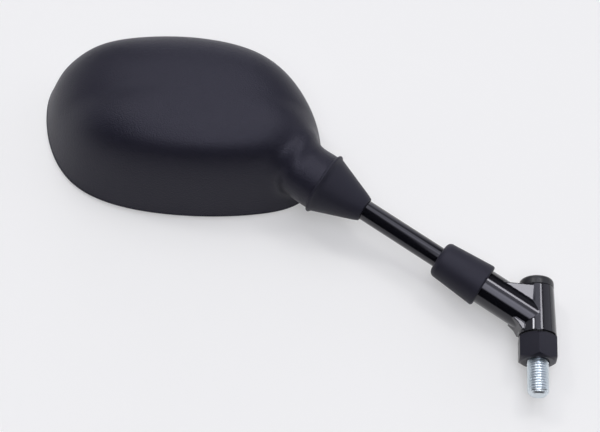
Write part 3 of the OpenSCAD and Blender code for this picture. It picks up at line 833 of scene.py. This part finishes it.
class MIRROR_OT_knuckle(bpy.types.Operator):
    """Model the cast knuckle and its cap"""

    bl_idname = "mirror.knuckle"
    bl_label = "Knuckle and cap"

    def execute(self, context):
        self.casting()
        self.cap()
        return {"FINISHED"}

    def casting(self):
        """Barrel, arm, web and foot are fused as one casting, then bored."""
        s = sizes("mount")
        low, top = s.barrel_z / MM, s.barrel_top / MM
        foot_r, top_r = s.barrel_foot_r / MM, s.barrel_top_r / MM
        arm_r, arm_l = s.arm_r / MM, s.arm_l / MM
        barrel = [(0, low), (foot_r, low), (top_r, top), (0, top)]
        casting = turned("knuckle_casting", straight(barrel), FINE)
        arm = [(0, 0), (arm_r, 0), (arm_r, arm_l), (0, arm_l)]
        arm = turned("arm", straight(arm), FINE)
        put_on_stem(arm, 0)
        rise = math.atan2(STEM_DIR.z, math.hypot(STEM_DIR.x, STEM_DIR.y))
        web_top = top - 0.9
        stem_z = STEM_FOOT.z / MM
        web_reach = (web_top - stem_z - 3.2) / math.tan(rise)
        under = stem_z - arm_r / math.cos(rise)
        heel, toe = foot_r + 1.2, foot_r + 4
        web = self.wedge("web", [(0, stem_z), (0, web_top), (-web_reach, web_top)], s.web_t / MM)
        foot = self.wedge("foot", [(0, low + 1), (-foot_r + 0.3, low + 1),
                                   (-heel, under + heel * math.tan(rise)),
                                   (-toe, under + toe * math.tan(rise) + 1),
                                   (0, stem_z)], foot_r * 1.2)
        activate(casting)
        for part in (arm, web, foot):
            part.select_set(True)
        bpy.ops.object.join()
        fuse(casting, 0.25 * MM)
        soften(casting, 6)
        bore_r, chamber_r, cap_seat_r = 5.05, 6.2, 7
        floor, cap_seat = low + 14, top - 2.9
        bore = [(0, low - 2), (bore_r, low - 2), (bore_r, floor), (chamber_r, floor),
                (chamber_r, cap_seat), (cap_seat_r, cap_seat), (cap_seat_r, top + 3), (0, top + 3)]
        cut(casting, turned("bore", straight(bore), COARSE))
        rod_end, past_arm = 14, 41
        hole = [(0, rod_end), (bore_r, rod_end), (bore_r, past_arm), (0, past_arm)]
        hole = turned("hole", straight(hole), COARSE)
        put_on_stem(hole, 0)
        cut(casting, hole)
        smooth_shade(casting, 40)
        dress(casting, gloss_paint(), "arm", "knuckle", slot="black_paint")

    def wedge(self, name, outline, thickness):
        """A flat block in the plane of stud and stem."""
        deselect()
        bpy.ops.mesh.primitive_circle_add(vertices=len(outline), fill_type="NGON")
        block = bpy.context.object
        block.name = name
        for vertex, (x, z) in zip(block.data.vertices, outline):
            vertex.co = (x * MM, -thickness / 2 * MM, z * MM)
        edit_all()
        bpy.ops.mesh.extrude_region_move(TRANSFORM_OT_translate={"value": (0, thickness * MM, 0)})
        close_up(block)
        block.rotation_euler.z = math.atan2(STEM_DIR.y, STEM_DIR.x) + math.pi
        bpy.ops.object.transform_apply()
        return block

    def cap(self):
        """The cap: a crown with a rounded edge, and a skirt inside the barrel."""
        s = sizes("mount")
        r, height = s.barrel_top_r / MM, s.cap_h / MM
        crown, edge = 1.8, 2.2
        skirt_in, skirt_out, skirt = 5.9, 6.9, -2.6
        crown_r = (r * r + crown * crown) / (2 * crown)
        side = height - crown * 0.45
        meet = math.degrees(math.asin((r - edge) / crown_r))
        rounding = arc((r - edge, side - edge), edge, 0, 90 - meet, 10)
        lift = height - crown_r
        top = [(crown_r * math.sin(math.radians(a)), lift + crown_r * math.cos(math.radians(a)))
               for a in [meet * (1 - i / 10) for i in range(1, 11)]]
        profile = [(0, 3), (skirt_in, 3), (skirt_in, skirt), (skirt_out, skirt), (skirt_out, 0),
                   (r - 0.25, 0), (r, 0.25)]
        cap = turned("barrel_cap", straight(profile + rounding + top))
        for vertex in cap.data.vertices:
            vertex.co.z += s.barrel_top
        smooth_shade(cap, 35)
        material = finish("cap_plastic", (0.018, 0.018, 0.021), 0.34)
        grain(material, 2200, 0.00005, 2, tint=0.1, roughness=0.05)
        dress(cap, material, "arm", "pivot_cap", slot="cap_plastic")


class MIRROR_OT_mount(bpy.types.Operator):
    """Model the hex nut and the threaded stud"""

    bl_idname = "mirror.mount"
    bl_label = "Hex nut and stud"

    def execute(self, context):
        self.nut()
        self.stud()
        return {"FINISHED"}

    def nut(self):
        """The hexagon, with its corners chamfered at both ends."""
        s = sizes("mount")
        corner = s.hex_af / math.cos(math.radians(30)) / 2
        height = s.hex_h
        turn = math.radians(-3.5)
        deselect()
        bpy.ops.mesh.primitive_cylinder_add(vertices=6, radius=corner, depth=height,
                                            location=(0, 0, height / 2))
        nut = bpy.context.object
        nut.name = "hexagon_nut"
        nut.rotation_euler.z = turn
        bpy.ops.object.transform_apply()
        c, h = corner / MM, height / MM
        nose, shoulder, slope = 7.75, 8.5, math.tan(math.radians(36))
        low_rise, high_rise = (c - nose) * slope, (c - shoulder) * slope
        chamfers = [(0, 0), (nose, 0), (c + 0.2, low_rise + 0.15), (c + 0.2, h - high_rise - 0.15),
                    (shoulder, h), (0, h)]
        envelope = turned("chamfers", straight(chamfers), FINE)
        cut(nut, envelope, "INTERSECT")
        bevel(nut, 0.22 * MM, 3, 25)
        mouth_r, bore_r, lead_in = 5.6, 5.05, 0.55
        bore = [(0, -1), (mouth_r, -1), (mouth_r, 0), (bore_r, lead_in), (bore_r, h + 1),
                (0, h + 1)]
        cut(nut, turned("bore", straight(bore), COARSE))
        smooth_shade(nut, 30)
        dress(nut, black_plate(), "mount", "hex_nut", slot="black_oxide")

    def stud(self):
        """One pitch of the thread's flank is screwed round, then topped to its outer form."""
        s = sizes("mount")
        low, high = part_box("mount_stud")
        r, p = s.stud_r / MM, s.pitch / MM
        root = r - 0.62 * p
        z0 = low.z / MM - 2 * p
        turns = int(-z0 / p) + 3
        flank = [(root, 0), (root, 0.14 * p), (r, 0.44 * p), (r, 0.56 * p), (root, 0.86 * p),
                 (root, p)]
        deselect()
        bpy.ops.mesh.primitive_circle_add(vertices=len(flank), fill_type="NOTHING")
        thread = bpy.context.object
        thread.name = "threaded_stud"
        for vertex, (x, z) in zip(thread.data.vertices, flank):
            vertex.co = (x * MM, 0, (z + z0) * MM)
        bpy.ops.object.mode_set(mode="EDIT")
        mesh = bmesh.from_edit_mesh(thread.data)
        mesh.verts.ensure_lookup_table()
        closing = [e for e in mesh.edges if {v.index for v in e.verts} == {0, len(flank) - 1}]
        bmesh.ops.delete(mesh, geom=closing, context="EDGES")
        bmesh.update_edit_mesh(thread.data)
        bpy.ops.object.mode_set(mode="OBJECT")
        screw = thread.modifiers.new("thread", "SCREW")
        screw.angle = 2 * math.pi
        screw.screw_offset = s.pitch
        screw.iterations = turns
        screw.steps = screw.render_steps = 72
        screw.use_merge_vertices = True
        screw.merge_threshold = 1e-6
        activate(thread)
        bpy.ops.object.modifier_apply(modifier=screw.name)
        close_up(thread, 2e-6)
        edit_all()
        bpy.ops.mesh.bisect(plane_co=low, plane_no=(0, 0, -1), use_fill=True, clear_outer=True)
        bpy.ops.mesh.select_all(action="SELECT")
        run_out = 0.4
        bpy.ops.mesh.bisect(plane_co=(0, 0, run_out * MM), plane_no=(0, 0, 1), use_fill=True,
                            clear_outer=True)
        close_up(thread, 1e-7)
        tip, crest = low.z / MM, r - 0.02
        envelope = [(0, tip), (r - 1.5, tip), (r - 0.5, tip + 1.1), (crest, tip + 2.1),
                    (crest, -0.1), (r - 0.3, run_out), (0, run_out)]
        cut(thread, turned("tip", straight(envelope), COARSE), "INTERSECT")
        top, collar, journal = high.z / MM, 12, 26.4
        relief_r, journal_r, top_r = r - 0.5, 4, 3
        shank = [(0, 0.2), (relief_r, 0.2), (relief_r, 1.2), (r, 1.5), (r, collar),
                 (journal_r, collar), (journal_r, journal), (top_r, journal), (top_r, top - 0.7),
                 (top_r - 0.7, top), (0, top)]
        cut(thread, turned("shank", straight(shank), COARSE), "UNION")
        smooth_shade(thread, 30)
        dress(thread, zinc_plate(), "mount", "mount_stud", slot="zinc")


class MIRROR_OT_inner(bpy.types.Operator):
    """Give the construction's remaining pieces their finishes"""

    bl_idname = "mirror.inner"
    bl_label = "Inner pieces"

    def execute(self, context):
        made = {"zinc": zinc_plate()}
        for name, (colour, roughness, metallic, *texture) in INNER_FINISHES.items():
            made[name] = grain(finish(name, colour, roughness, metallic), *texture)
        for name, kind in INNER_PIECES.items():
            mesh = frame["nodes"][name].data
            mesh.materials.clear()
            mesh.materials.append(made[kind])
        return {"FINISHED"}


class MIRROR_OT_studio(bpy.types.Operator):
    """Set up the pale backdrop, the soft light and the camera"""

    bl_idname = "mirror.studio"
    bl_label = "Studio"

    def execute(self, context):
        self.world()
        self.floor()
        self.lamps()
        self.camera()
        context.scene.view_settings.view_transform = "Standard"
        return {"FINISHED"}

    def seen(self, nodes, links, kinds):
        """A value of one for rays of the given kinds."""
        path = nodes.new("ShaderNodeLightPath")
        total = path.outputs[kinds[0]]
        for kind in kinds[1:]:
            larger = nodes.new("ShaderNodeMath")
            larger.operation = "MAXIMUM"
            links.new(total, larger.inputs[0])
            links.new(path.outputs[kind], larger.inputs[1])
            total = larger.outputs[0]
        return total

    def glow(self, nodes, links, coords, azimuth, elevation, inner, outer, strength):
        """One soft light of the room, which fades with the angle from its middle."""
        facing = nodes.new("ShaderNodeVectorMath")
        facing.operation = "DOT_PRODUCT"
        links.new(coords, facing.inputs[0])
        facing.inputs[1].default_value = direction(azimuth, elevation)
        fade = nodes.new("ShaderNodeMapRange")
        fade.interpolation_type = "SMOOTHSTEP"
        fade.inputs["From Min"].default_value = math.cos(math.radians(outer))
        fade.inputs["From Max"].default_value = math.cos(math.radians(inner))
        fade.inputs["To Max"].default_value = strength
        links.new(facing.outputs["Value"], fade.inputs["Value"])
        return fade.outputs["Result"]

    def world(self):
        """The room's soft lights, and the plain backdrop that the camera sees instead."""
        s = sizes("studio")
        world = bpy.data.worlds.new("studio")
        bpy.context.scene.world = world
        world.use_nodes = True
        nodes, links = world.node_tree.nodes, world.node_tree.links
        coords = nodes.new("ShaderNodeTexCoord").outputs["Generated"]
        total = self.glow(nodes, links, coords, *ROOM[0])
        for light in ROOM[1:]:
            added = nodes.new("ShaderNodeMath")
            links.new(total, added.inputs[0])
            links.new(self.glow(nodes, links, coords, *light), added.inputs[1])
            total = added.outputs[0]
        room = nodes["Background"]
        room.inputs["Color"].default_value = (*s.tint, 1)
        links.new(total, room.inputs["Strength"])
        pale = nodes.new("ShaderNodeBackground")
        pale.inputs["Color"].default_value = (*s.backdrop, 1)
        mix = nodes.new("ShaderNodeMixShader")
        seen = self.seen(nodes, links, ("Is Camera Ray", "Is Transmission Ray"))
        links.new(seen, mix.inputs["Fac"])
        links.new(room.outputs["Background"], mix.inputs[1])
        links.new(pale.outputs["Background"], mix.inputs[2])
        links.new(mix.outputs["Shader"], nodes["World Output"].inputs["Surface"])

    def floor(self):
        """A pale floor behind the mirror that shows its shadow and is clear from the back."""
        s = sizes("studio")
        deselect()
        middle = (-0.11, 0.0125, 0.07)
        bpy.ops.mesh.primitive_plane_add(size=6, location=middle, rotation=(math.pi / 2, 0, 0))
        floor = bpy.context.object
        floor.name = "studio_floor"
        material = bpy.data.materials.new("floor")
        material.use_nodes = True
        nodes, links = material.node_tree.nodes, material.node_tree.links
        seen = self.seen(nodes, links, ("Is Camera Ray", "Is Glossy Ray", "Is Transmission Ray"))
        shader = nodes["Principled BSDF"]
        shader.inputs["Roughness"].default_value = 1.0
        shader.inputs["Specular IOR Level"].default_value = 0.0
        colour = nodes.new("ShaderNodeMix")
        colour.data_type = "RGBA"
        colour.inputs["A"].default_value = (*s.floor_unseen, 1)
        colour.inputs["B"].default_value = (*s.floor, 1)
        links.new(seen, colour.inputs["Factor"])
        links.new(colour.outputs["Result"], shader.inputs["Base Color"])
        shader.inputs["Emission Color"].default_value = (1, 1, 1, 1)
        paler = nodes.new("ShaderNodeMath")
        paler.operation = "MULTIPLY"
        paler.inputs[1].default_value = s.floor_glow
        links.new(seen, paler.inputs[0])
        links.new(paler.outputs[0], shader.inputs["Emission Strength"])
        clear = nodes.new("ShaderNodeBsdfTransparent")
        side = nodes.new("ShaderNodeNewGeometry")
        mix = nodes.new("ShaderNodeMixShader")
        links.new(side.outputs["Backfacing"], mix.inputs["Fac"])
        links.new(shader.outputs["BSDF"], mix.inputs[1])
        links.new(clear.outputs["BSDF"], mix.inputs[2])
        links.new(mix.outputs["Shader"], nodes["Material Output"].inputs["Surface"])
        floor.data.materials.append(material)

    def lamps(self):
        """The lamps, each a sun of some width."""
        for name, azimuth, elevation, width, strength, glossy in LAMPS:
            data = bpy.data.lights.new(name, "SUN")
            data.energy = strength
            data.angle = math.radians(width)
            lamp = bpy.data.objects.new(name, data)
            bpy.context.scene.collection.objects.link(lamp)
            lamp.rotation_mode = "QUATERNION"
            lamp.rotation_quaternion = (-direction(azimuth, elevation)).to_track_quat("-Z", "Y")
            lamp.visible_glossy = glossy

    def camera(self):
        """The photograph's view: from below the stud's level, slightly rolled."""
        rise, roll, distance = math.radians(25.852), math.radians(3.158), 0.75
        ahead = Vector((0, math.cos(rise), math.sin(rise)))
        level = Vector((1, 0, 0))
        up = Vector((0, -math.sin(rise), math.cos(rise)))
        right = math.cos(roll) * level + math.sin(roll) * up
        above = -math.sin(roll) * level + math.cos(roll) * up
        aimed_at = Vector((-112.154, 0, 67.558)) * MM
        data = bpy.data.cameras.new("camera")
        data.lens = 94.64
        data.sensor_width = 36
        data.clip_start = 0.05
        camera = bpy.data.objects.new("camera", data)
        bpy.context.scene.collection.objects.link(camera)
        turn = Matrix((right, above, -ahead)).transposed().to_4x4()
        camera.matrix_world = Matrix.Translation(aimed_at - distance * ahead) @ turn
        bpy.context.scene.camera = camera


STEPS = (
    MIRROR_OT_housing, MIRROR_OT_glass, MIRROR_OT_boot, MIRROR_OT_stem, MIRROR_OT_knuckle,
    MIRROR_OT_mount, MIRROR_OT_inner, MIRROR_OT_studio,
)
GROUPS = {
    "housing": HousingSizes, "stem": StemSizes, "mount": MountSizes, "finish": Finishes,
    "studio": StudioSettings,
}


class MIRROR_PT_panel(bpy.types.Panel):
    """Sizes, finishes and steps of the mirror"""

    bl_idname = "MIRROR_PT_panel"
    bl_label = "Motorcycle mirror"
    bl_space_type = "VIEW_3D"
    bl_region_type = "UI"
    bl_category = "Mirror"

    def draw(self, context):
        for step in STEPS:
            self.layout.operator(step.bl_idname)
        for group, kind in GROUPS.items():
            box = self.layout.box()
            box.label(text=kind.__doc__)
            for name in kind.__annotations__:
                box.prop(sizes(group), name)


def register():
    for kind in (*GROUPS.values(), *STEPS, MIRROR_PT_panel):
        bpy.utils.register_class(kind)
    for group, kind in GROUPS.items():
        setattr(bpy.types.Scene, "mirror_" + group, PointerProperty(type=kind))


def unregister():
    for group in GROUPS:
        delattr(bpy.types.Scene, "mirror_" + group)
    for kind in reversed((*GROUPS.values(), *STEPS, MIRROR_PT_panel)):
        bpy.utils.unregister_class(kind)


def main():
    register()
    for step in (
        bpy.ops.mirror.housing, bpy.ops.mirror.glass, bpy.ops.mirror.boot, bpy.ops.mirror.stem,
        bpy.ops.mirror.knuckle, bpy.ops.mirror.mount, bpy.ops.mirror.inner, bpy.ops.mirror.studio,
    ):
        step()


if __name__ == "__main__":
    main()
